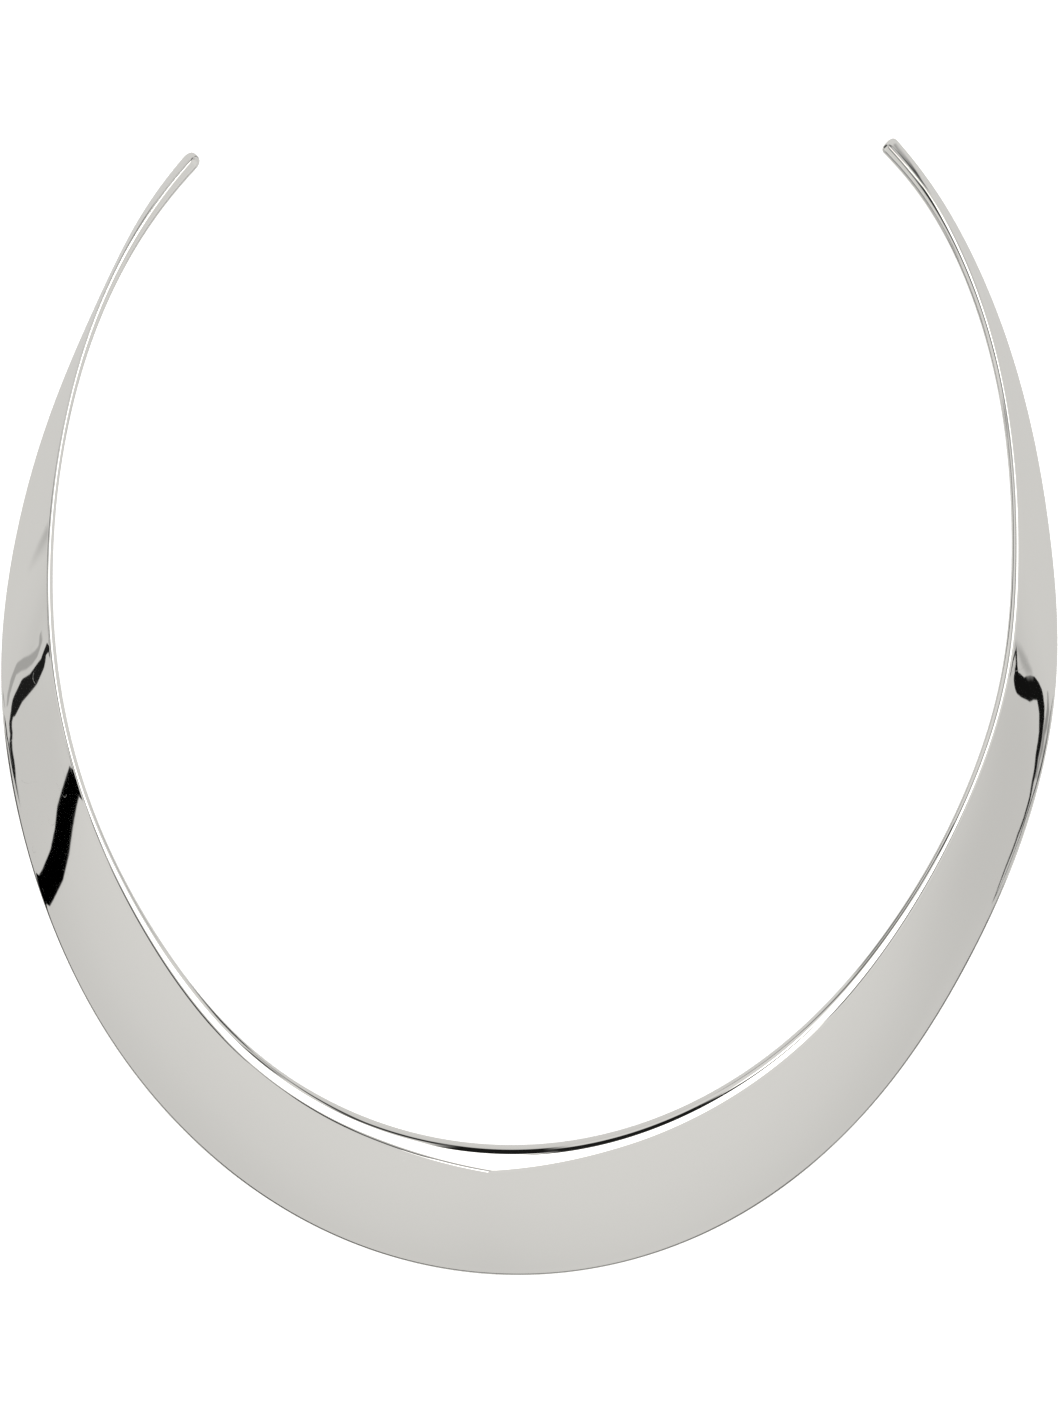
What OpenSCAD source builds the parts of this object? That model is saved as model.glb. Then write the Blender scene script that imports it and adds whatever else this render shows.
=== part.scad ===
// Rigid open collar for the neck, a single bent strip of polished metal.
// Units are millimetres. +Z is up, the middle of the front faces -Y and the two free tips point to +Y.
// The collar lies on its lower edge, and the origin is the middle of its footprint.

/* [Band at the middle of the front] */
// Width of the nearly level rim on top of the band
front_rim = 2.4; // [2:0.1:4]
// Distance that the sloping face runs outward in plan
front_run = 15.3; // [9:0.1:18]
// Height of the ridge above the lower edge
front_height = 10.6; // [8:0.1:14]
// Width of the lower edge
front_foot = 2.2; // [1.6:0.1:3]

/* [Shape along the band] */
// Rise of the lower edge at the sides, above the front and the tips
saddle_rise = 1.0; // [0:0.1:2]
// Angle from the middle of the front to the left tip
left_reach = 145.9; // [141:0.1:150]
// Angle from the middle of the front to the right tip
right_reach = 144.7; // [141:0.1:150]
// Extra width of the rim where it comes to a shallow point
peak_width = 1.0; // [0:0.05:1.2]
// Angle of that point, to the left of the middle
peak_angle = 4; // [0:0.5:8]
// Angle over which the point fades out on each side
peak_reach = 15; // [8:1:20]

/* [Corners and faces of the band] */
// Height of the upright neck side of the rim, as a share of the rim's width
cheek_share = 0.95; // [0.85:0.01:1]
// Rounding of the lower end of that side, as a share of the rim's width
cheek_round_share = 0.13; // [0.05:0.01:0.14]
// Rounding of the lower outer corner, as a share of the lower edge's width
hem_round_share = 0.6; // [0.2:0.05:0.7]
// Rounding of the lower inner corner, as a share of the lower edge's width
foot_round_share = 0.18; // [0.1:0.02:0.24]
// Bulge of the sloping face, as a share of its width
crown_share = 0.014; // [0:0.002:0.03]
// Depth of the rounding at the left tip
left_tip_round = 1.3; // [0.6:0.1:2]
// Depth of the rounding at the right tip
right_tip_round = 0.7; // [0.6:0.1:2]

/* [Fineness] */
// Number of sections along the band
section_count = 176; // [80:8:176]
// Number of sections in the rounding of each tip
tip_steps = 6; // [3:1:6]

/* [Hidden] */

// One row for each section from the middle of the front to a tip, the same on both sides but for the columns
// that name a side. The strip is even, and it was bent a little more on the left than on the right.
// angle: degrees from the middle of the front, where the tip takes left_reach or right_reach instead.
// neck: distance of the inner edge from the neck's centre. dip: how far the rim drops towards the neck.
// rim, run, height and foot: shares of the sizes at the front. rise: share of saddle_rise.
// neck round, ridge round: shares of the rim's width that are rounded towards the neck and the ridge.
ROWS = [
// angle, neck L, R, rim L, R, run L, R, height, foot, dip L, R, rise, neck round, ridge round
    [0, 62.45, 62.45, 1.00, 1.00, 1.000, 1.000, 1.000, 1.00, 0.00, 0.00, 0.0, 0.76, 0.20],
    [17, 62.50, 60.80, 0.81, 0.75, 0.957, 0.985, 0.980, 0.95, 0.05, 0.05, 0.0, 0.74, 0.22],
    [34, 61.25, 58.50, 0.59, 0.66, 0.832, 0.830, 0.920, 0.86, 0.08, 0.12, 0.0, 0.68, 0.28],
    [52, 58.30, 56.40, 0.38, 0.46, 0.767, 0.680, 0.810, 0.73, 0.16, 0.22, 0.2, 0.61, 0.35],
    [70, 57.75, 56.70, 0.21, 0.27, 0.610, 0.586, 0.700, 0.60, 0.20, 0.35, 0.6, 0.42, 0.54],
    [86, 58.35, 58.65, 0.26, 0.34, 0.492, 0.448, 0.600, 0.54, 0.25, 0.45, 0.9, 0.42, 0.54],
    [101, 60.00, 60.65, 0.22, 0.32, 0.329, 0.311, 0.530, 0.50, 0.22, 0.45, 1.0, 0.40, 0.56],
    [115, 63.10, 64.80, 0.20, 0.33, 0.175, 0.190, 0.480, 0.46, 0.20, 0.45, 0.8, 0.40, 0.56],
    [128, 67.20, 69.85, 0.34, 0.38, 0.018, 0.107, 0.445, 0.43, 0.30, 0.45, 0.4, 0.38, 0.58],
    [138, 70.40, 73.90, 0.45, 0.46, 0.064, 0.074, 0.420, 0.46, 0.45, 0.50, 0.0, 0.31, 0.52],
    [145, 72.65, 75.60, 0.52, 0.50, 0.079, 0.096, 0.260, 0.50, 0.55, 0.45, 0.0, 0.24, 0.40],
];
LAST = len(ROWS) - 1;
TIP = 2 * LAST;

// Columns of the table
ANGLE_COLUMN = 0;
NECK_LEFT_COLUMN = 1;
NECK_RIGHT_COLUMN = 2;
RIM_LEFT_COLUMN = 3;
RIM_RIGHT_COLUMN = 4;
RUN_LEFT_COLUMN = 5;
RUN_RIGHT_COLUMN = 6;
HEIGHT_COLUMN = 7;
FOOT_COLUMN = 8;
DIP_LEFT_COLUMN = 9;
DIP_RIGHT_COLUMN = 10;
RISE_COLUMN = 11;
NECK_ROUND_COLUMN = 12;
RIDGE_ROUND_COLUMN = 13;

// Values of a column for the sections from the left tip, at 0, to the right tip, at TIP
function both_sides(left, right) = [for (i = [0:TIP]) ROWS[abs(i - LAST)][i < LAST ? left : right]];
function even(column) = both_sides(column, column);

// Smooth curve through a column of control values, a uniform cubic spline that ends at its end values
function held(values, i) =
    i < 0 ? 2 * values[0] - values[1] :
    i > TIP ? 2 * values[TIP] - values[TIP - 1] :
    values[i];
function spline(values, p) =
    let (
        i = min(floor(p), TIP - 1),
        t = p - i,
        u = 1 - t
    )
    (
        held(values, i - 1) * u * u * u
        + held(values, i) * (3 * t * t * t - 6 * t * t + 4)
        + held(values, i + 1) * (3 * u * u * u - 6 * u * u + 4)
        + held(values, i + 2) * t * t * t
    ) / 6;

ANGLES = [for (i = [0:TIP])
    i == 0 ? -left_reach :
    i == TIP ? right_reach :
    sign(i - LAST) * even(ANGLE_COLUMN)[i]];
NECK = both_sides(NECK_LEFT_COLUMN, NECK_RIGHT_COLUMN);
RIM = front_rim * both_sides(RIM_LEFT_COLUMN, RIM_RIGHT_COLUMN);
RUN = front_run * both_sides(RUN_LEFT_COLUMN, RUN_RIGHT_COLUMN);
HEIGHT = front_height * even(HEIGHT_COLUMN);
FOOT = front_foot * even(FOOT_COLUMN);
DIP = both_sides(DIP_LEFT_COLUMN, DIP_RIGHT_COLUMN);
RISE = saddle_rise * even(RISE_COLUMN);
NECK_ROUND = even(NECK_ROUND_COLUMN);
RIDGE_ROUND = even(RIDGE_ROUND_COLUMN);

// Inner edge of the band in plan, and its outward direction
PLAN_STEP = 0.01;
function plan_at(p) =
    let (a = spline(ANGLES, p))
    spline(NECK, p) * [sin(a), -cos(a)];
function outward_at(p) =
    let (
        along = plan_at(min(TIP, p + PLAN_STEP)) - plan_at(max(0, p - PLAN_STEP)),
        size = norm(along)
    )
    [along[1], -along[0]] / size;

// Softened corner: a parabola that leaves one side and joins the next
function toward(from, to, reach) = from + (to - from) * reach / norm(to - from);
function soft_corner(before, corner, after, reach, steps) =
    let (
        start = toward(corner, before, reach),
        end = toward(corner, after, reach)
    )
    [for (k = [0:steps])
        let (t = k / steps)
        start * (1 - t) * (1 - t) + corner * 2 * t * (1 - t) + end * t * t];

// Points between two ends, without the ends, pushed out to a crowned face
function crowned(from, to, bulge, steps) =
    let (
        along = to - from,
        out = [-along[1], along[0]] / norm(along)
    )
    [for (k = [1:steps - 1])
        let (t = k / steps)
        from + along * t + out * bulge * 4 * t * (1 - t)];

// Extra width of the rim, which widens to a shallow point near the middle
function peak_at(p) =
    let (away = abs(spline(ANGLES, p) + peak_angle) / peak_reach)
    peak_width * pow(max(0, 1 - away), 2);

// Number of points round each corner and across each face of a section
NECK_STEPS = 6;
RIDGE_STEPS = 4;
FACE_STEPS = 6;
HEM_STEPS = 5;
FOOT_STEPS = 3;
WALL_STEPS = 3;
CHEEK_STEPS = 3;

// Section of the band across its length: distance outward from the inner edge, and height
function section_at(p) =
    let (
        base_rim = spline(RIM, p),
        rim = base_rim + peak_at(p),
        width = base_rim + spline(RUN, p),
        height = spline(HEIGHT, p),
        rim_low = height - spline(DIP, p),
        neck_corner = [0, rim_low],
        ridge = [rim, height],
        hem = [width, 0],
        foot = spline(FOOT, p),
        foot_inner = [width - foot, 0],
        cheek = [0, rim_low - cheek_share * base_rim],
        neck_soft = spline(NECK_ROUND, p) * base_rim,
        ridge_soft = spline(RIDGE_ROUND, p) * base_rim,
        hem_soft = hem_round_share * foot,
        foot_soft = foot_round_share * foot,
        cheek_soft = cheek_round_share * base_rim,
        neck_arc = soft_corner(cheek, neck_corner, ridge, neck_soft, NECK_STEPS),
        ridge_arc = soft_corner(neck_corner, ridge, hem, ridge_soft, RIDGE_STEPS),
        hem_arc = soft_corner(ridge, hem, foot_inner, hem_soft, HEM_STEPS),
        foot_arc = soft_corner(hem, foot_inner, cheek, foot_soft, FOOT_STEPS),
        cheek_arc = soft_corner(foot_inner, cheek, neck_corner, cheek_soft, CHEEK_STEPS),
        bulge = crown_share * norm(hem - ridge)
    )
    concat(
        neck_arc,
        ridge_arc,
        crowned(ridge_arc[RIDGE_STEPS], hem_arc[0], bulge, FACE_STEPS),
        hem_arc,
        foot_arc,
        crowned(foot_arc[FOOT_STEPS], cheek_arc[0], -bulge, WALL_STEPS),
        cheek_arc
    );

// The tips are rounded by sections that crowd together and shrink towards their middle.
// Each station is a place along the band and the size of the section there.
TIP_START = 12;
TIP_SQUARE = 0.7;
function tip_turn(k) = TIP_START + (90 - TIP_START) * k / tip_steps;
function tip_size(k) = pow(sin(tip_turn(k)), TIP_SQUARE);
function tip_depth(k) = 1 - cos(tip_turn(k));
LEFT_END = left_tip_round * PLAN_STEP / norm(plan_at(PLAN_STEP) - plan_at(0));
RIGHT_END = right_tip_round * PLAN_STEP / norm(plan_at(TIP) - plan_at(TIP - PLAN_STEP));
STATIONS = concat(
    [for (k = [0:tip_steps - 1]) [LEFT_END * tip_depth(k), tip_size(k)]],
    [for (k = [0:section_count]) [LEFT_END + (TIP - LEFT_END - RIGHT_END) * k / section_count, 1]],
    [for (k = [tip_steps - 1:-1:0]) [TIP - RIGHT_END * tip_depth(k), tip_size(k)]]
);
function middle_of(p) = [(spline(RIM, p) + spline(RUN, p)) / 2, spline(HEIGHT, p) / 2];
function ring_at(station) =
    let (
        p = station[0],
        middle = middle_of(p),
        start = plan_at(p),
        out = outward_at(p),
        rise = spline(RISE, p)
    )
    [for (point = section_at(p))
        let (
            shrunk = middle + (point - middle) * station[1],
            place = start + out * shrunk[0]
        )
        [place[0], place[1], shrunk[1] + rise]];
RINGS = [for (station = STATIONS) ring_at(station)];
SIDES = len(RINGS[0]);
POINTS = [for (ring = RINGS) each ring];

// Middle of the footprint, which becomes the origin
function middle_along(axis) =
    let (reach = [for (point = POINTS) point[axis]])
    (min(reach) + max(reach)) / 2;
FOOT_LEVEL = min([for (point = POINTS) point[2]]);
ORIGIN = [middle_along(0), middle_along(1), FOOT_LEVEL];

module collar() {
    last_ring = (len(RINGS) - 1) * SIDES;
    walls = [for (r = [0:len(RINGS) - 2], k = [0:SIDES - 1])
        let (
            a = r * SIDES + k,
            b = r * SIDES + (k + 1) % SIDES
        )
        each [[a, b + SIDES, b], [a, a + SIDES, b + SIDES]]];
    left_cap = [for (k = [0:SIDES - 1]) k];
    right_cap = [for (k = [SIDES - 1:-1:0]) last_ring + k];
    color("silver")
        translate(-ORIGIN)
            polyhedron(points = POINTS, faces = concat(walls, [left_cap, right_cap]), convexity = 6);
}

collar();
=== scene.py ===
# Polished silver collar, lying on a pale studio floor and seen from straight above.
# Everything is in metres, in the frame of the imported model.
import bmesh
import bpy
import math
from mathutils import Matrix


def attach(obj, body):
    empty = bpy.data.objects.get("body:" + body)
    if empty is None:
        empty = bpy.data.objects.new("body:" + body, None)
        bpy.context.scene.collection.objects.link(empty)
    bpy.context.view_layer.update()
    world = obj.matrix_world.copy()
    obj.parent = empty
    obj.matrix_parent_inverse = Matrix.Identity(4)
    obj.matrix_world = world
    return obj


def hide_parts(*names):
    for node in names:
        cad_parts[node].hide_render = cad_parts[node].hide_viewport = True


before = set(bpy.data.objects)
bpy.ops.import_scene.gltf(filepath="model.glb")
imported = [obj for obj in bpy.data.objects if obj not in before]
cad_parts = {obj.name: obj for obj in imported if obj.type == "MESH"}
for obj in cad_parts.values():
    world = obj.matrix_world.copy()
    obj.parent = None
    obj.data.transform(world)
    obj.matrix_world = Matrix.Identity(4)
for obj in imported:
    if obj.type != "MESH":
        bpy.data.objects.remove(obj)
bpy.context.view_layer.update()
mm = 0.001
scene = bpy.context.scene
print("loaded the frame")


def linearColour(hexText):
    # an sRGB hex colour as linear red, green, blue and alpha
    parts = [int(hexText[k:k + 2], 16) / 255 for k in (1, 3, 5)]
    return [p / 12.92 if p <= 0.04045 else ((p + 0.055) / 1.055) ** 2.4 for p in parts] + [1.0]


def addNode(tree, kind, inputs=None, **settings):
    # one node with its settings; an input takes a value or another node's output
    node = tree.nodes.new(kind)
    for name, value in settings.items():
        setattr(node, name, value)
    for key, value in (inputs or {}).items():
        if isinstance(value, bpy.types.NodeSocket):
            tree.links.new(value, node.inputs[key])
        else:
            node.inputs[key].default_value = value
    return node


# the kinds of node that come most often
mathNode = "ShaderNodeMath"
vectorNode = "ShaderNodeVectorMath"
rangeNode = "ShaderNodeMapRange"
mixNode = "ShaderNodeMix"
noiseNode = "ShaderNodeTexNoise"

# The band: its section at the middle of the front, and how it changes towards the tips.
band = {
    "rim": 2.4,            # width of the level rim, mm
    "run": 15.3,           # reach of the sloping face in plan, mm
    "height": 10.6,        # mm
    "foot": 2.2,           # width of the lower edge, mm
    "saddle": 1.0,         # rise of the lower edge at the sides, mm
    "leftReach": 145.9,    # degrees from the middle of the front to the tips
    "rightReach": 144.7,
    "peak": 1.0,           # how much the rim widens at its shallow point, mm
    "peakAngle": 4.0,      # degrees left of the middle
    "peakReach": 15.0,     # degrees to either side
    "cheek": 0.95,         # depth of the neck side and its rounding, as shares of the rim's width
    "cheekRound": 0.13,
    "hemRound": 0.6,       # roundings of the lower edge, as shares of its width
    "footRound": 0.18,
    "crown": 0.014,        # bulge of the sloping face, as a share of its width
    "leftTipRound": 1.3,   # length of the rounded ends, mm
    "rightTipRound": 0.7,
    "tipSquare": 0.7,      # below 1 the tips are squarer
    "stations": 740,       # sections between the two rounded ends
    "tipStations": 12,
    "arcSteps": 12,        # points round a corner
    "flatSteps": 9,        # points along a side
    "mergeGap": 1e-7,      # metres, closes the seam and the tips
    "leastEdge": 1e-8,
}
# One row for each section from the middle of the front to a tip. The angle is in degrees, neck and dip are
# in mm, the rounds are shares of the rim's width, and the others are shares of the band's own values.
columns = ("angle", "neckLeft", "neckRight", "rimLeft", "rimRight", "runLeft", "runRight", "height", "foot",
           "dipLeft", "dipRight", "rise", "neckRound", "ridgeRound")
rows = [dict(zip(columns, values)) for values in (
    (0, 62.45, 62.45, 1.00, 1.00, 1.000, 1.000, 1.000, 1.00, 0.00, 0.00, 0.0, 0.76, 0.20),
    (17, 62.50, 60.80, 0.81, 0.75, 0.957, 0.985, 0.980, 0.95, 0.05, 0.05, 0.0, 0.74, 0.22),
    (34, 61.25, 58.50, 0.59, 0.66, 0.832, 0.830, 0.920, 0.86, 0.08, 0.12, 0.0, 0.68, 0.28),
    (52, 58.30, 56.40, 0.38, 0.46, 0.767, 0.680, 0.810, 0.73, 0.16, 0.22, 0.2, 0.61, 0.35),
    (70, 57.75, 56.70, 0.21, 0.27, 0.610, 0.586, 0.700, 0.60, 0.20, 0.35, 0.6, 0.42, 0.54),
    (86, 58.35, 58.65, 0.26, 0.34, 0.492, 0.448, 0.600, 0.54, 0.25, 0.45, 0.9, 0.42, 0.54),
    (101, 60.00, 60.65, 0.22, 0.32, 0.329, 0.311, 0.530, 0.50, 0.22, 0.45, 1.0, 0.40, 0.56),
    (115, 63.10, 64.80, 0.20, 0.33, 0.175, 0.190, 0.480, 0.46, 0.20, 0.45, 0.8, 0.40, 0.56),
    (128, 67.20, 69.85, 0.34, 0.38, 0.018, 0.107, 0.445, 0.43, 0.30, 0.45, 0.4, 0.38, 0.58),
    (138, 70.40, 73.90, 0.45, 0.46, 0.064, 0.074, 0.420, 0.46, 0.45, 0.50, 0.0, 0.31, 0.52),
    (145, 72.65, 75.60, 0.52, 0.50, 0.079, 0.096, 0.260, 0.50, 0.55, 0.45, 0.0, 0.24, 0.40),
)]
lastRow = len(rows) - 1
tip = 2 * lastRow


def control(name, i):
    # value of a column at section i, counted from the left tip at 0 to the right tip
    row = rows[abs(i - lastRow)]
    return row[name] if name in row else row[name + ("Left" if i < lastRow else "Right")]


def controls(name, scale=1.0):
    # a column's values at all sections, times the band's own value
    return [scale * control(name, i) for i in range(tip + 1)]


angles = [math.copysign(control("angle", i), i - lastRow) for i in range(tip + 1)]
angles[0] = -band["leftReach"]
angles[tip] = band["rightReach"]
curves = {
    "angle": angles,
    "neck": controls("neck"),
    "rim": controls("rim", band["rim"]),
    "run": controls("run", band["run"]),
    "height": controls("height", band["height"]),
    "foot": controls("foot", band["foot"]),
    "dip": controls("dip"),
    "rise": controls("rise", band["saddle"]),
    "neckRound": controls("neckRound"),
    "ridgeRound": controls("ridgeRound"),
}


def spline(name, p):
    # uniform cubic spline through the section values, which ends at its end values
    values = curves[name]
    held = [2 * values[0] - values[1]] + values + [2 * values[-1] - values[-2]]
    i = min(int(p), tip - 1)
    t = p - i
    u = 1 - t
    weights = (u ** 3, 3 * t ** 3 - 6 * t ** 2 + 4, 3 * u ** 3 - 6 * u ** 2 + 4, t ** 3)
    return sum(w * held[i + k] for k, w in enumerate(weights)) / 6


def planPoint(p):
    # the inner edge at section p, seen from above
    a = math.radians(spline("angle", p))
    neck = spline("neck", p)
    return neck * math.sin(a), -neck * math.cos(a)


def outward(p, step=0.01):
    # the level direction away from the neck, square to the inner edge
    x0, y0 = planPoint(max(0, p - step))
    x1, y1 = planPoint(min(tip, p + step))
    size = math.hypot(x1 - x0, y1 - y0)
    return (y1 - y0) / size, (x0 - x1) / size


def sectionCorners(p):
    # each corner: distance outward from the inner edge, height, and how far it is softened
    rim = spline("rim", p)
    away = abs(spline("angle", p) + band["peakAngle"]) / band["peakReach"]
    ridge = rim + band["peak"] * max(0, 1 - away) ** 2
    width = rim + spline("run", p)
    height = spline("height", p)
    rimLow = height - spline("dip", p)
    foot = spline("foot", p)
    return {
        "neckCorner": (0, rimLow, spline("neckRound", p) * rim),
        "ridgeCorner": (ridge, height, spline("ridgeRound", p) * rim),
        "hemCorner": (width, 0, band["hemRound"] * foot),
        "footCorner": (width - foot, 0, band["footRound"] * foot),
        "cheekCorner": (0, rimLow - band["cheek"] * rim, band["cheekRound"] * rim),
    }


cornerNames = ("neckCorner", "ridgeCorner", "hemCorner", "footCorner", "cheekCorner")


def stationList():
    # places along the band with the size of the section there, which shrinks to a point in each tip
    pace = 0.01    # of the way from one section to the next
    leftEnd = band["leftTipRound"] * pace / math.dist(planPoint(pace), planPoint(0))
    rightEnd = band["rightTipRound"] * pace / math.dist(planPoint(tip), planPoint(tip - pace))
    turns = [math.pi / 2 * k / band["tipStations"] for k in range(band["tipStations"])]
    ends = [(1 - math.cos(turn), math.sin(turn) ** band["tipSquare"]) for turn in turns]
    span = tip - leftEnd - rightEnd
    middle = [(leftEnd + span * k / band["stations"], 1.0) for k in range(band["stations"] + 1)]
    left = [(leftEnd * depth, size) for depth, size in ends]
    right = [(tip - rightEnd * depth, size) for depth, size in reversed(ends)]
    return left + middle + right


def makeRail():
    # a line of points along the inner edge, which carries the section's corners as attributes
    stations = stationList()
    plan = [planPoint(p) for p, size in stations]
    points = [(x * mm, y * mm, spline("rise", p) * mm) for (x, y), (p, size) in zip(plan, stations)]
    mesh = bpy.data.meshes.new("rail")
    mesh.from_pydata(points, [(k, k + 1) for k in range(len(points) - 1)], [])
    corners = [sectionCorners(p) for p, size in stations]
    for name in cornerNames:
        layer = mesh.attributes.new(name, "FLOAT_VECTOR", "POINT")
        layer.data.foreach_set("vector", [v * mm for corner in corners for v in corner[name]])
    layer = mesh.attributes.new("outward", "FLOAT_VECTOR", "POINT")
    layer.data.foreach_set("vector", [v for p, size in stations for v in (*outward(p), 0.0)])
    layer = mesh.attributes.new("size", "FLOAT", "POINT")
    layer.data.foreach_set("value", [size for p, size in stations])
    length = [0.0]
    for a, b in zip(points, points[1:]):
        length.append(length[-1] + math.dist(a, b))
    layer = mesh.attributes.new("along", "FLOAT", "POINT")
    layer.data.foreach_set("value", length)
    rail = bpy.data.objects.new("rail", mesh)
    scene.collection.objects.link(rail)
    return rail


def makeBandTree():
    # sweeps the five-cornered section along the rail: every grid point looks up its corner and its station
    tree = bpy.data.node_groups.new("band sweep", "GeometryNodeTree")
    face = tree.interface
    face.new_socket("Rail", in_out="INPUT", socket_type="NodeSocketGeometry")
    face.new_socket("Arc Steps", in_out="INPUT", socket_type="NodeSocketInt")
    face.new_socket("Flat Steps", in_out="INPUT", socket_type="NodeSocketInt")
    face.new_socket("Crown", in_out="INPUT", socket_type="NodeSocketFloat")
    face.new_socket("Material", in_out="INPUT", socket_type="NodeSocketMaterial")
    face.new_socket("Band", in_out="OUTPUT", socket_type="NodeSocketGeometry")
    given = addNode(tree, "NodeGroupInput").outputs
    cornerCount = len(cornerNames)
    blend = {"data_type": "VECTOR", "clamp_factor": False}

    railSize = addNode(tree, "GeometryNodeAttributeDomainSize", {0: given["Rail"]}).outputs["Point Count"]
    perCorner = addNode(
        tree, mathNode, {0: given["Arc Steps"], 1: given["Flat Steps"]}, operation="ADD").outputs[0]
    around = addNode(
        tree, mathNode, {0: perCorner, 1: float(cornerCount), 2: 1.0}, operation="MULTIPLY_ADD").outputs[0]
    grid = addNode(
        tree, "GeometryNodeMeshGrid", {"Vertices X": railSize, "Vertices Y": around}).outputs["Mesh"]

    # the grid counts its points along Y first, and a half keeps each share clear of whole numbers
    index = addNode(tree, "GeometryNodeInputIndex").outputs[0]
    half = addNode(tree, mathNode, {0: index, 1: 0.5}, operation="ADD").outputs[0]
    stationShare = addNode(tree, mathNode, {0: half, 1: around}, operation="DIVIDE").outputs[0]
    station = addNode(tree, mathNode, {0: stationShare}, operation="FLOOR").outputs[0]
    before = addNode(tree, mathNode, {0: station, 1: around}, operation="MULTIPLY").outputs[0]
    column = addNode(tree, mathNode, {0: index, 1: before}, operation="SUBTRACT").outputs[0]
    columnHalf = addNode(tree, mathNode, {0: column, 1: 0.5}, operation="ADD").outputs[0]
    cornerShare = addNode(tree, mathNode, {0: columnHalf, 1: perCorner}, operation="DIVIDE").outputs[0]
    corner = addNode(tree, mathNode, {0: cornerShare}, operation="FLOOR").outputs[0]
    passed = addNode(tree, mathNode, {0: corner, 1: perCorner}, operation="MULTIPLY").outputs[0]
    local = addNode(tree, mathNode, {0: column, 1: passed}, operation="SUBTRACT").outputs[0]

    def sampled(name, kind):
        # value of a rail attribute at this grid point's station
        value = addNode(tree, "GeometryNodeInputNamedAttribute", {"Name": name}, data_type=kind)
        return addNode(
            tree, "GeometryNodeSampleIndex",
            {"Geometry": given["Rail"], "Value": value.outputs["Attribute"], "Index": station},
            data_type=kind, domain="POINT").outputs["Value"]

    found = [sampled(name, "FLOAT_VECTOR") for name in cornerNames]

    def cornerAt(shift):
        # the corner that lies shift places further round the section
        moved = addNode(tree, mathNode, {0: corner, 1: float(shift)}, operation="ADD").outputs[0]
        turned = addNode(tree, mathNode, {0: moved, 1: float(cornerCount)}, operation="MODULO").outputs[0]
        switch = addNode(tree, "GeometryNodeIndexSwitch", data_type="VECTOR")
        while len(switch.index_switch_items) < cornerCount:
            switch.index_switch_items.new()
        tree.links.new(turned, switch.inputs["Index"])
        for k, value in enumerate(found):
            tree.links.new(value, switch.inputs[k + 1])
        parts = addNode(tree, "ShaderNodeSeparateXYZ", {0: switch.outputs[0]}).outputs
        flat = addNode(tree, "ShaderNodeCombineXYZ", {0: parts[0], 1: parts[1]}).outputs[0]
        return flat, parts[2]

    here, hereSoft = cornerAt(0)
    ahead, aheadSoft = cornerAt(1)
    behind = cornerAt(cornerCount - 1)[0]
    toAhead = addNode(tree, vectorNode, {0: ahead, 1: here}, operation="SUBTRACT").outputs[0]
    toBehind = addNode(tree, vectorNode, {0: behind, 1: here}, operation="SUBTRACT").outputs[0]
    wayAhead = addNode(tree, vectorNode, {0: toAhead}, operation="NORMALIZE").outputs[0]
    wayBehind = addNode(tree, vectorNode, {0: toBehind}, operation="NORMALIZE").outputs[0]
    sideLength = addNode(tree, vectorNode, {0: toAhead}, operation="LENGTH").outputs["Value"]

    def along(start, way, distance):
        # the point at a distance from the start
        step = addNode(tree, vectorNode, {0: way, "Scale": distance}, operation="SCALE").outputs[0]
        return addNode(tree, vectorNode, {0: start, 1: step}, operation="ADD").outputs[0]

    # a corner is a curve from one side to the next, and the rest of a side is straight
    arcStart = along(here, wayBehind, hereSoft)
    arcEnd = along(here, wayAhead, hereSoft)
    turnShare = addNode(
        tree, mathNode, {0: local, 1: given["Arc Steps"]}, operation="DIVIDE", use_clamp=True).outputs[0]
    arcIn = addNode(tree, mixNode, {0: turnShare, 4: arcStart, 5: here}, **blend).outputs[1]
    arcOut = addNode(tree, mixNode, {0: turnShare, 4: here, 5: arcEnd}, **blend).outputs[1]
    arcPoint = addNode(tree, mixNode, {0: turnShare, 4: arcIn, 5: arcOut}, **blend).outputs[1]

    lessSoft = addNode(tree, mathNode, {0: sideLength, 1: aheadSoft}, operation="SUBTRACT").outputs[0]
    flatEnd = along(here, wayAhead, lessSoft)
    eased = addNode(
        tree, rangeNode, {0: local, 1: given["Arc Steps"], 2: perCorner, 3: 0.0, 4: 1.0},
        interpolation_type="SMOOTHSTEP").outputs[0]
    straight = addNode(tree, mixNode, {0: eased, 4: arcEnd, 5: flatEnd}, **blend).outputs[1]
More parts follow.
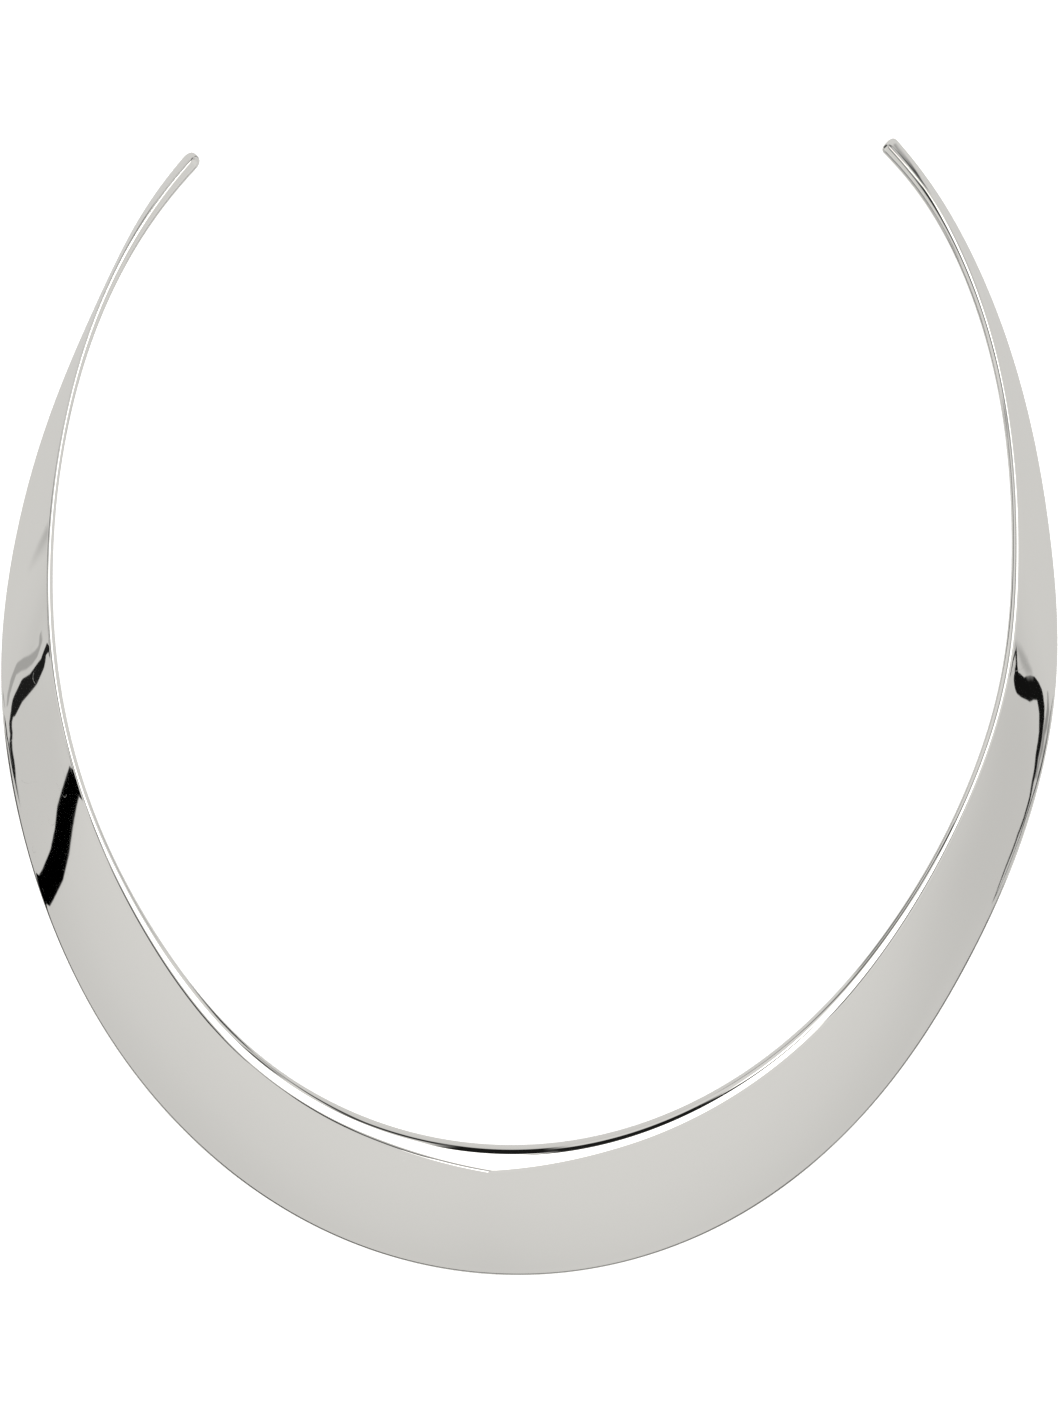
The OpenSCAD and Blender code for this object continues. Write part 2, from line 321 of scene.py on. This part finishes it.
    # the sloping face bulges out and the wall under it bulges with it
    rest = addNode(tree, mathNode, {0: 1.0, 1: eased}, operation="SUBTRACT").outputs[0]
    hump = addNode(tree, mathNode, {0: eased, 1: rest}, operation="MULTIPLY").outputs[0]
    humpScale = 4.0    # the hump is a quarter at its highest
    bulges = {"ridgeCorner": humpScale, "footCorner": -humpScale}
    signs = addNode(tree, "GeometryNodeIndexSwitch", data_type="FLOAT")
    while len(signs.index_switch_items) < cornerCount:
        signs.index_switch_items.new()
    for k, name in enumerate(cornerNames):
        signs.inputs[k + 1].default_value = bulges.get(name, 0.0)
    cornerTurned = addNode(
        tree, mathNode, {0: corner, 1: float(cornerCount)}, operation="MODULO").outputs[0]
    tree.links.new(cornerTurned, signs.inputs["Index"])
    bulge = addNode(tree, mathNode, {0: hump, 1: signs.outputs[0]}, operation="MULTIPLY").outputs[0]
    bulgeSize = addNode(tree, mathNode, {0: sideLength, 1: given["Crown"]}, operation="MULTIPLY").outputs[0]
    bulgeAll = addNode(tree, mathNode, {0: bulge, 1: bulgeSize}, operation="MULTIPLY").outputs[0]
    # square to the side, in the plane of the section
    outOf = addNode(
        tree, vectorNode, {0: (0.0, 0.0, 1.0), 1: wayAhead}, operation="CROSS_PRODUCT").outputs[0]
    flatPoint = along(straight, outOf, bulgeAll)

    onFlat = addNode(tree, mathNode, {0: local, 1: given["Arc Steps"]}, operation="GREATER_THAN").outputs[0]
    sectionPoint = addNode(tree, mixNode, {0: onFlat, 4: arcPoint, 5: flatPoint}, **blend).outputs[1]

    # each section shrinks towards its middle in the tips
    hem = found[cornerNames.index("hemCorner")]
    ridge = found[cornerNames.index("ridgeCorner")]
    hemParts = addNode(tree, "ShaderNodeSeparateXYZ", {0: hem}).outputs
    ridgeParts = addNode(tree, "ShaderNodeSeparateXYZ", {0: ridge}).outputs
    extent = addNode(tree, "ShaderNodeCombineXYZ", {0: hemParts[0], 1: ridgeParts[1]}).outputs[0]
    middle = addNode(tree, vectorNode, {0: extent, "Scale": 0.5}, operation="SCALE").outputs[0]
    size = sampled("size", "FLOAT")
    shrunk = addNode(tree, mixNode, {0: size, 4: middle, 5: sectionPoint}, **blend).outputs[1]
    shrunkParts = addNode(tree, "ShaderNodeSeparateXYZ", {0: shrunk}).outputs
    position = addNode(tree, "GeometryNodeInputPosition").outputs[0]
    railPoint = addNode(
        tree, "GeometryNodeSampleIndex",
        {"Geometry": given["Rail"], "Value": position, "Index": station},
        data_type="FLOAT_VECTOR", domain="POINT").outputs["Value"]
    spread = along(railPoint, sampled("outward", "FLOAT_VECTOR"), shrunkParts[0])
    lifted = addNode(tree, "ShaderNodeCombineXYZ", {2: shrunkParts[1]}).outputs[0]
    place = addNode(tree, vectorNode, {0: spread, 1: lifted}, operation="ADD").outputs[0]

    swept = addNode(tree, "GeometryNodeSetPosition", {"Geometry": grid, "Position": place}).outputs[0]
    aroundShare = addNode(tree, mathNode, {0: column, 1: perCorner}, operation="DIVIDE").outputs[0]
    marked = addNode(
        tree, "GeometryNodeStoreNamedAttribute",
        {"Geometry": swept, "Name": "around", "Value": aroundShare},
        data_type="FLOAT", domain="POINT").outputs[0]
    measured = addNode(
        tree, "GeometryNodeStoreNamedAttribute",
        {"Geometry": marked, "Name": "along", "Value": sampled("along", "FLOAT")},
        data_type="FLOAT", domain="POINT").outputs[0]
    smooth = addNode(
        tree, "GeometryNodeSetShadeSmooth", {"Geometry": measured, "Shade Smooth": True}).outputs[0]
    real = addNode(tree, "GeometryNodeRealizeInstances", {"Geometry": smooth}).outputs[0]
    coated = addNode(
        tree, "GeometryNodeSetMaterial", {"Geometry": real, "Material": given["Material"]}).outputs[0]
    addNode(tree, "NodeGroupOutput", {0: coated})
    return tree


# The finish; lengths and depths are in mm.
polish = {
    "colour": "#f8f7f4",
    "roughness": (0.012, 0.03),
    "cloudSize": 11.0,            # patches that are a little more or less glossy
    "cloudRange": (0.3, 0.7),
    "waveLength": 7.0,            # unevenness left by the hammer and the file
    "waveDepth": 0.004,
    "rippleLength": 1.6,
    "rippleDepth": 0.0003,
    "lineLength": 16.0,
    "linesPerSide": 30.0,         # coarser than real buffing lines, which are too fine to show
    "lineDepth": 0.0002,
    "scratchSpacing": 9.0,
    "scratchBend": 0.6,
    "scratchWidth": 0.0015,       # as a step of the noise about its middle value
    "scratchLength": 3.0,
    "scratchFade": (0.52, 0.60),
    "dustSpacing": 1.3,
    "dustSize": (0.03, 0.07),     # from the core to the rim of a speck, as shares of the spacing
    "dustFree": 0.86,             # share of the places that hold no speck
    "markRoughness": 0.16,
}


def polishedSilver():
    # Sterling silver, bent, filed and buffed to a mirror. The eye sees the room in it, with edges that
    # waver a little where the hand work left the face uneven, fine buffing lines along the band, and
    # hairline scratches and specks of dust that only show where something dark is mirrored.
    material = bpy.data.materials.new("buffed sterling silver")
    material.use_nodes = True
    tree = material.node_tree
    shader = tree.nodes["Principled BSDF"]
    shader.inputs["Base Color"].default_value = linearColour(polish["colour"])
    shader.inputs["Metallic"].default_value = 1.0
    place = addNode(tree, "ShaderNodeTexCoord").outputs["Object"]

    # scratches: where a slow noise crosses its middle value
    drift = addNode(
        tree, noiseNode,
        {"Vector": place, "Scale": 1 / (polish["scratchSpacing"] * mm), "Detail": 1.0,
         "Distortion": polish["scratchBend"]}).outputs[0]
    offMiddle = addNode(tree, mathNode, {0: drift, 1: 0.5}, operation="SUBTRACT").outputs[0]
    nearMiddle = addNode(tree, mathNode, {0: offMiddle}, operation="ABSOLUTE").outputs[0]
    scratch = addNode(
        tree, rangeNode,
        {0: nearMiddle, 1: 0.0, 2: polish["scratchWidth"], 3: 1.0, 4: 0.0}).outputs[0]
    breaks = addNode(
        tree, noiseNode, {"Vector": place, "Scale": 1 / (polish["scratchLength"] * mm)}).outputs[0]
    fadeStart, fadeEnd = polish["scratchFade"]
    shown = addNode(tree, rangeNode, {0: breaks, 1: fadeStart, 2: fadeEnd}).outputs[0]
    hairline = addNode(tree, mathNode, {0: scratch, 1: shown}, operation="MULTIPLY").outputs[0]

    # dust: a small speck in a few of the cells
    cells = addNode(
        tree, "ShaderNodeTexVoronoi", {"Vector": place, "Scale": 1 / (polish["dustSpacing"] * mm)}).outputs
    coreSize, rimSize = polish["dustSize"]
    speck = addNode(
        tree, rangeNode, {0: cells["Distance"], 1: coreSize, 2: rimSize, 3: 1.0, 4: 0.0}).outputs[0]
    chosen = addNode(tree, "ShaderNodeSeparateColor", {0: cells["Color"]}).outputs[0]
    few = addNode(tree, mathNode, {0: chosen, 1: polish["dustFree"]}, operation="GREATER_THAN").outputs[0]
    dust = addNode(tree, mathNode, {0: speck, 1: few}, operation="MULTIPLY").outputs[0]
    marks = addNode(tree, mathNode, {0: hairline, 1: dust}, operation="MAXIMUM").outputs[0]

    cloud = addNode(
        tree, noiseNode,
        {"Vector": place, "Scale": 1 / (polish["cloudSize"] * mm), "Detail": 3.0}).outputs[0]
    cloudLow, cloudHigh = polish["cloudRange"]
    glossiest, dullest = polish["roughness"]
    gloss = addNode(
        tree, rangeNode, {0: cloud, 1: cloudLow, 2: cloudHigh, 3: glossiest, 4: dullest}).outputs[0]
    rough = addNode(tree, mixNode, {0: marks, 2: gloss, 3: polish["markRoughness"]}).outputs[0]
    tree.links.new(rough, shader.inputs["Roughness"])

    # buffing lines run along the band, so their pattern is stretched along its length
    alongBand = addNode(tree, "ShaderNodeAttribute", attribute_name="along").outputs["Fac"]
    aroundBand = addNode(tree, "ShaderNodeAttribute", attribute_name="around").outputs["Fac"]
    lengthwise = addNode(
        tree, mathNode, {0: alongBand, 1: 1 / (polish["lineLength"] * mm)}, operation="MULTIPLY").outputs[0]
    crosswise = addNode(
        tree, mathNode, {0: aroundBand, 1: polish["linesPerSide"]}, operation="MULTIPLY").outputs[0]
    stretched = addNode(tree, "ShaderNodeCombineXYZ", {0: lengthwise, 1: crosswise}).outputs[0]
    lines = addNode(tree, noiseNode, {"Vector": stretched, "Scale": 1.0, "Detail": 2.0}).outputs[0]
    waves = addNode(
        tree, noiseNode,
        {"Vector": place, "Scale": 1 / (polish["waveLength"] * mm), "Detail": 1.5}).outputs[0]
    ripples = addNode(
        tree, noiseNode,
        {"Vector": place, "Scale": 1 / (polish["rippleLength"] * mm), "Detail": 1.0}).outputs[0]
    normal = None
    for height, depth in ((waves, "waveDepth"), (ripples, "rippleDepth"), (lines, "lineDepth")):
        bump = addNode(
            tree, "ShaderNodeBump", {"Height": height, "Distance": polish[depth] * mm, "Strength": 1.0})
        if normal:
            tree.links.new(normal, bump.inputs["Normal"])
        normal = bump.outputs["Normal"]
    tree.links.new(normal, shader.inputs["Normal"])
    return material


def makeBand(material):
    # the swept band as one plain closed mesh
    rail = makeRail()
    tree = makeBandTree()
    modifier = rail.modifiers.new("band", "NODES")
    modifier.node_group = tree
    sockets = {item.name: item.identifier for item in tree.interface.items_tree if item.in_out == "INPUT"}
    modifier[sockets["Arc Steps"]] = band["arcSteps"]
    modifier[sockets["Flat Steps"]] = band["flatSteps"]
    modifier[sockets["Crown"]] = band["crown"]
    modifier[sockets["Material"]] = material
    shown = rail.evaluated_get(bpy.context.evaluated_depsgraph_get())
    mesh = bpy.data.meshes.new_from_object(shown)
    bpy.data.objects.remove(rail)
    piece = bpy.data.objects.new("silverBand", mesh)
    scene.collection.objects.link(piece)
    shell = bmesh.new()
    shell.from_mesh(mesh)
    bmesh.ops.remove_doubles(shell, verts=shell.verts, dist=band["mergeGap"])
    bmesh.ops.dissolve_degenerate(shell, dist=band["leastEdge"], edges=shell.edges)
    bmesh.ops.recalc_face_normals(shell, faces=shell.faces)
    # the middle of the footprint is the origin, as in the frame
    xs = [v.co.x for v in shell.verts]
    ys = [v.co.y for v in shell.verts]
    low = min(v.co.z for v in shell.verts)
    middle = ((min(xs) + max(xs)) / 2, (min(ys) + max(ys)) / 2, low)
    bmesh.ops.translate(shell, verts=shell.verts, vec=[-v for v in middle])
    shell.to_mesh(mesh)
    shell.free()
    print("band:", len(mesh.vertices), "points,", len(mesh.polygons), "faces")
    return piece


silverBand = makeBand(polishedSilver())
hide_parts("collar")
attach(silverBand, "root")
print("made the band")

studio = {
    "floorSize": 6.0,
    "floorDrop": 0.02 * mm,       # keeps the band's lower edge out of the floor
    "floorColour": "#f4f4f4",
    "floorRoughness": 0.9,
    "glowColour": "#ffffff",
    "floorGlow": 0.6,
    "backgroundTone": 0.95,
    "lightColour": (1.0, 0.992, 0.972, 1.0),
    "cameraHeight": 1.0,
    "pixelsPerMetre": 8000,       # of the 1059 x 1412 frame, on the floor
    "frameHeight": 1412,
    "cameraShift": (0.03 * mm, 0.11 * mm),
    "sensor": 36.0,
}


def makeFloor():
    # white board, lit to a plain white for the camera; the silver mirrors the room's own lower half instead
    half = studio["floorSize"] / 2
    low = -studio["floorDrop"]
    mesh = bpy.data.meshes.new("floor")
    corners = [(-half, -half, low), (half, -half, low), (half, half, low), (-half, half, low)]
    mesh.from_pydata(corners, [], [(0, 1, 2, 3)])
    floor = bpy.data.objects.new("floor", mesh)
    scene.collection.objects.link(floor)
    floor.visible_glossy = False
    material = bpy.data.materials.new("matte white board")
    material.use_nodes = True
    shader = material.node_tree.nodes["Principled BSDF"]
    shader.inputs["Base Color"].default_value = linearColour(studio["floorColour"])
    shader.inputs["Roughness"].default_value = studio["floorRoughness"]
    shader.inputs["Emission Color"].default_value = linearColour(studio["glowColour"])
    shader.inputs["Emission Strength"].default_value = studio["floorGlow"]
    mesh.materials.append(material)


makeFloor()

# The room that the silver mirrors. Azimuth 0 lies in front of the band and is positive to the right,
# elevation is above the horizon, both in degrees. These steps give its brightness up the wall.
wall = [(-90, 0.65), (-5, 0.645), (0, 0.63), (4, 0.595), (8, 0.62), (12, 0.65), (18, 0.68), (26, 0.70),
        (55, 0.70), (59, 1.9), (90, 2.0)]
brightest = 2.0
# Large dark and pale things: middle and size in azimuth and elevation, brightness, softness of the edges,
# and slope, which moves the middle up with each degree of azimuth. Later ones cover earlier ones.
panels = [
    dict(name="top of the left wall", at=(-95, 52), size=(80, 26), level=0.66, soft=3),
    dict(name="top of the right wall", at=(95, 52), size=(80, 26), level=0.66, soft=3),
    dict(name="beam behind on the left", at=(-120, 60), size=(16, 30), level=0.66, soft=4),
    dict(name="beam behind on the right", at=(120, 60), size=(16, 30), level=0.66, soft=4),
    dict(name="right gap", at=(66, 59), size=(20, 14), level=0.02, soft=3),
    dict(name="shade on the right wall", at=(72, 5), size=(22, 16), level=0.565, soft=14),
    dict(name="shade on the left wall", at=(-80, 9), size=(12, 12), level=0.60, soft=8),
    dict(name="cupboard in front on the left", at=(-60.5, 33), size=(17, 22), level=0.03, soft=1.5),
    dict(name="lamp in front", at=(-14.8, 33), size=(10.8, 22), level=1.8, soft=0.6),
    dict(name="stool behind the camera", at=(165, 33), size=(14, 24), level=0.03, soft=5, slope=-1.0),
    dict(name="bag behind the stool", at=(145.5, 39), size=(6, 26), level=0.1, soft=3),
    dict(name="tripod", at=(179, 39), size=(16, 50), level=0.01, soft=5),
    dict(name="camera", at=(194.8, 56), size=(19.6, 32), level=0.01, soft=4, slope=0.4),
]
# Posts, sills and cables: bent strips through points of azimuth, elevation and width.
strips = [
    dict(name="cable over the cupboard", level=0.03, soft=1.5, points=(
        (-73, 38, 3), (-69, 35, 11), (-54, 33, 17), (-48, 36, 6), (-45, 38, 4),
        (-41, 40, 7), (-36, 40, 10), (-30, 36, 15), (-26, 33, 15), (-23.5, 31, 13), (-21.5, 34, 10))),
    dict(name="shelf over the lamp", level=0.25, soft=3, points=(
        (-22, 38, 10), (-15, 40, 11), (-10, 43, 6))),
    dict(name="beam on the left", level=0.05, soft=3, points=(
        (-79, 56, 6), (-91, 65, 8), (-105, 71, 6), (-120, 74, 4), (-150, 75.5, 4), (-163, 74, 5),
        (-175, 70, 6))),
    dict(name="picture rail on the left", level=0.03, soft=2.5, points=(
        (-75, 49, 3), (-78, 53, 8), (-83, 58, 10), (-90, 52, 6), (-93, 46, 6), (-98, 46, 6), (-105, 52, 5),
        (-112, 55, 6), (-118, 57, 7), (-123, 55, 9), (-127, 48, 6), (-131, 38, 9), (-136, 22, 10),
        (-141, 15, 5), (-150, 5, 4))),
    dict(name="skirting on the left", level=0.03, soft=2.5, points=(
        (-88, 34, 3), (-96, 18, 6), (-102, -5, 9), (-108, -8, 4), (-116, 0, 3), (-122, 5, 10),
        (-127, -10, 9), (-129, -30, 5))),
    dict(name="cable behind on the right", level=0.05, soft=2.5, points=(
        (131, -47, 5), (133, -37, 8), (136, -18, 9), (138, 5, 6), (142, 0, 6), (146, 6, 4), (151, 14, 7),
        (156, 26, 8), (161, 38, 9))),
    dict(name="knob behind on the right", level=0.08, soft=2.5, points=(
        (117, 20, 6), (120.5, 22, 13), (124, 25, 6))),
    dict(name="edge of the table", level=0.02, soft=0.4, points=(
        (-78.0, 0.9, 2.2), (-77.4, -0.6, 5.4), (-76.8, -4.3, 13.4), (-75, -6.3, 17.4), (-73, -6.7, 17.6),
        (-70, -6.7, 16.6), (-67, -6.3, 14.4), (-64, -5.5, 11.6), (-54.6, -4.0, 8.6), (-44.4, -1.1, 6.6),
        (-33, -6.3, 14.4), (-19, -6.1, 13.8), (-5, -4.4, 7.8), (5, -5.2, 9.6), (21, -4.2, 11.8),
        (35, -3.5, 12.8), (44.5, -4.2, 7.2), (51, -6.2, 10.4), (60, -6.0, 12.8), (62.5, -4.5, 9.0),
        (64.0, -3.5, 6.0))),
    dict(name="door post", level=0.0, soft=0.15, points=(
        (-79.0, 20.0, 2.7), (-77.3, 17.0, 2.7), (-75.6, 14.5, 2.9), (-73.9, 12.2, 3.3), (-72.5, 10.7, 3.1),
        (-71.2, 8.6, 2.95), (-70.3, 5.8, 2.7), (-69.9, 4.0, 2.7), (-69.3, 1.5, 2.6), (-68.6, -3.0, 2.6))),
    dict(name="left window frame", level=0.012, soft=0.15, points=(
        (-93.0, 11.0, 2.0), (-91.0, 11.2, 4.0), (-89.6, 11.0, 3.0), (-88.9, 10.2, 1.4), (-88.5, 8.6, 1.0),
        (-88.0, 8.2, 1.1), (-87.5, 8.3, 1.5), (-87.0, 7.2, 2.0), (-86.5, 5.2, 1.95),
        (-86.3, 3.3, 2.4), (-85.4, 1.8, 2.2), (-84.9, 1.2, 1.05), (-84.0, 0.85, 0.75), (-83.4, 0.95, 0.65),
        (-82.9, 1.2, 0.65), (-82.1, 1.05, 0.75), (-81.3, 1.25, 0.65), (-80.5, 1.6, 0.6), (-79.8, 1.75, 0.6),
        (-79.2, 1.75, 0.7), (-78.6, 1.5, 1.0), (-78.0, 0.9, 2.2))),
    dict(name="left frame mirrored in the glass", level=0.38, soft=0.3, points=(
        (-90.2, 5.7, 0.3), (-89.35, 6.45, 0.7), (-88.9, 6.1, 0.85), (-88.7, 5.2, 1.0), (-88.7, 3.8, 1.1),
        (-88.9, 2.2, 1.1), (-88.9, 0.6, 1.1), (-88.0, -0.1, 1.2), (-87.4, -0.3, 0.9), (-86.9, -0.5, 0.8),
        (-85.9, -0.5, 0.4))),
    dict(name="right window frame", level=0.006, soft=0.15, points=(
        (86.7, 4.2, 0.25), (85.8, 4.6, 0.5), (85.1, 4.8, 0.5), (84.4, 4.95, 0.55), (83.6, 5.1, 1.2),
        (82.6, 5.0, 2.3), (82.6, 4.0, 2.4), (82.6, 2.6, 2.2), (82.8, 1.6, 2.5), (83.2, 0.4, 2.4),
        (83.4, -0.8, 2.3), (83.3, -1.7, 2.1), (82.9, -2.1, 2.4), (82.2, -2.35, 2.2), (81.2, -2.45, 1.7),
        (80.3, -2.25, 1.4), (79.3, -2.1, 1.05), (78.4, -1.8, 1.0), (77.2, -1.35, 0.9), (76.0, -1.2, 0.65),
        (74.8, -0.85, 0.55), (73.3, -0.7, 0.45), (71.6, -0.3, 0.4), (70.3, 0.2, 0.35), (69.0, 0.45, 0.3),
        (67.5, 0.75, 0.24), (66.2, 0.75, 0.18), (65.2, 0.6, 0.16), (64.2, 0.3, 0.2), (63.0, -0.3, 0.4))),
    dict(name="right frame mirrored in the glass", level=0.28, soft=0.3, points=(
        (83.9, -4.9, 0.3), (82.2, -4.6, 0.7), (80.6, -3.8, 0.8), (79.6, -3.1, 0.6), (78.2, -2.7, 0.6),
        (77.0, -2.1, 0.4), (75.5, -1.6, 0.35))),
    dict(name="curtain", level=0.42, soft=1.4, points=(
        (86.0, 3.8, 0.8), (85.5, 2.8, 1.7), (85.0, 1.6, 1.7), (84.8, 0.3, 0.7))),
]


def makeStretch():
    # one straight stretch of a strip with round ends: 1 inside and 0 outside
    tree = bpy.data.node_groups.new("stretch", "ShaderNodeTree")
    for name in ("Direction", "Start", "Run", "Share"):
        tree.interface.new_socket(name, in_out="INPUT", socket_type="NodeSocketVector")
    for name in ("Half Width", "Widening", "Soft"):
        tree.interface.new_socket(name, in_out="INPUT", socket_type="NodeSocketFloat")
    tree.interface.new_socket("Inside", in_out="OUTPUT", socket_type="NodeSocketFloat")
    given = addNode(tree, "NodeGroupInput").outputs
    away = addNode(
        tree, vectorNode, {0: given["Direction"], 1: given["Start"]}, operation="SUBTRACT").outputs[0]
    passed = addNode(
        tree, vectorNode, {0: away, 1: given["Share"]}, operation="DOT_PRODUCT").outputs["Value"]
    place = addNode(tree, "ShaderNodeClamp", {0: passed}).outputs[0]
    nearest = addNode(
        tree, vectorNode, {0: given["Run"], "Scale": place}, operation="SCALE").outputs[0]
    distance = addNode(
        tree, vectorNode, {0: away, 1: nearest}, operation="DISTANCE").outputs["Value"]
    half = addNode(
        tree, mathNode, {0: place, 1: given["Widening"], 2: given["Half Width"]},
        operation="MULTIPLY_ADD").outputs[0]
    outside = addNode(tree, mathNode, {0: distance, 1: half}, operation="SUBTRACT").outputs[0]
    softness = addNode(tree, mathNode, {0: outside, 1: given["Soft"]}, operation="DIVIDE").outputs[0]
    inside = addNode(
        tree, rangeNode, {0: softness, 1: -0.5, 2: 0.5, 3: 1.0, 4: 0.0},
        interpolation_type="SMOOTHSTEP").outputs[0]
    addNode(tree, "NodeGroupOutput", {0: inside})
    return tree


def makeRoom():
    # the room as the world's light
    stretch = makeStretch()
    world = bpy.data.worlds.new("studio room")
    world.use_nodes = True
    scene.world = world
    tree = world.node_tree
    tree.nodes.clear()
    way = addNode(tree, "ShaderNodeTexCoord").outputs["Generated"]
    parts = addNode(tree, "ShaderNodeSeparateXYZ", {0: way}).outputs
    ahead = addNode(tree, mathNode, {0: parts[1], 1: -1.0}, operation="MULTIPLY").outputs[0]
    turn = addNode(tree, mathNode, {0: parts[0], 1: ahead}, operation="ARCTAN2").outputs[0]
    azimuth = addNode(tree, mathNode, {0: turn}, operation="DEGREES").outputs[0]
    climb = addNode(tree, mathNode, {0: parts[2]}, operation="ARCSINE").outputs[0]
    elevation = addNode(tree, mathNode, {0: climb}, operation="DEGREES").outputs[0]

    share = addNode(tree, rangeNode, {0: elevation, 1: -90.0, 2: 90.0}).outputs[0]
    steps = addNode(tree, "ShaderNodeFloatCurve", {1: share})
    curve = steps.mapping.curves[0]
    spots = [((degrees + 90) / 180, level / brightest) for degrees, level in wall]
    curve.points[0].location = spots[0]
    curve.points[1].location = spots[-1]
    for spot in spots[1:-1]:
        curve.points.new(*spot)
    for point in curve.points:
        point.handle_type = "VECTOR"
    steps.mapping.update()
    bare = addNode(tree, mathNode, {0: steps.outputs[0], 1: brightest}, operation="MULTIPLY").outputs[0]

    level = bare
    for panel in panels:
        panelAzimuth, panelElevation = panel["at"]
        risen = addNode(tree, mathNode, {0: elevation, 1: panelElevation}, operation="SUBTRACT").outputs[0]
        turned = addNode(tree, mathNode, {0: azimuth, 1: panelAzimuth}, operation="SUBTRACT").outputs[0]
        turned = addNode(tree, mathNode, {0: turned, 1: -180.0, 2: 180.0}, operation="WRAP").outputs[0]
        sloping = addNode(
            tree, mathNode, {0: turned, 1: -panel.get("slope", 0.0), 2: risen},
            operation="MULTIPLY_ADD").outputs[0]
        cover = 1.0
        for offset, size in ((turned, panel["size"][0]), (sloping, panel["size"][1])):
            distance = addNode(tree, mathNode, {0: offset}, operation="ABSOLUTE").outputs[0]
            inside = addNode(
                tree, rangeNode,
                {0: distance, 1: (size - panel["soft"]) / 2, 2: (size + panel["soft"]) / 2, 3: 1.0, 4: 0.0},
                interpolation_type="SMOOTHSTEP").outputs[0]
            cover = addNode(tree, mathNode, {0: inside, 1: cover}, operation="MULTIPLY").outputs[0]
        level = addNode(
            tree, mixNode, {0: cover, 2: level, 3: panel["level"]}, label=panel["name"]).outputs[0]

    for strip in strips:
        cover = 0.0
        middle = strip["points"][0][0]
        turned = addNode(tree, mathNode, {0: azimuth, 1: middle}, operation="SUBTRACT").outputs[0]
        turned = addNode(tree, mathNode, {0: turned, 1: -180.0, 2: 180.0}, operation="WRAP").outputs[0]
        direction = addNode(tree, "ShaderNodeCombineXYZ", {0: turned, 1: elevation}).outputs[0]
        for start, end in zip(strip["points"], strip["points"][1:]):
            azimuth0, elevation0, width0 = start
            azimuth1, elevation1, width1 = end
            run = (azimuth1 - azimuth0, elevation1 - elevation0, 0.0)
            inside = addNode(
                tree, "ShaderNodeGroup", {
                    "Direction": direction, "Start": (azimuth0 - middle, elevation0, 0.0), "Run": run,
                    "Share": [v / math.hypot(*run) ** 2 for v in run], "Half Width": width0 / 2,
                    "Widening": (width1 - width0) / 2, "Soft": strip["soft"]},
                node_tree=stretch).outputs[0]
            cover = addNode(tree, mathNode, {0: inside, 1: cover}, operation="MAXIMUM").outputs[0]
        level = addNode(
            tree, mixNode, {0: cover, 2: level, 3: strip["level"]}, label=strip["name"]).outputs[0]

    # the camera sees a plain background, the floor is lit by the bare room, the silver mirrors all of it
    paths = addNode(tree, "ShaderNodeLightPath").outputs
    shown = addNode(
        tree, mixNode, {0: paths["Is Camera Ray"], 2: bare, 3: studio["backgroundTone"]}).outputs[0]
    plain = addNode(
        tree, "ShaderNodeBackground", {"Color": studio["lightColour"], "Strength": shown}).outputs[0]
    mirrored = addNode(
        tree, "ShaderNodeBackground", {"Color": studio["lightColour"], "Strength": level}).outputs[0]
    both = addNode(
        tree, "ShaderNodeMixShader", {0: paths["Is Glossy Ray"], 1: plain, 2: mirrored}).outputs[0]
    addNode(tree, "ShaderNodeOutputWorld", {"Surface": both})


makeRoom()
print("made the room")


def makeCamera():
    # straight above the middle of the footprint
    data = bpy.data.cameras.new("camera")
    frameLength = studio["frameHeight"] / studio["pixelsPerMetre"]
    data.sensor_width = studio["sensor"]
    data.lens = studio["sensor"] * studio["cameraHeight"] / frameLength
    camera = bpy.data.objects.new("camera", data)
    camera.location = (*studio["cameraShift"], studio["cameraHeight"])
    scene.collection.objects.link(camera)
    scene.camera = camera


makeCamera()
scene.view_settings.view_transform = "Standard"
scene.view_settings.look = "None"
print("made the studio")
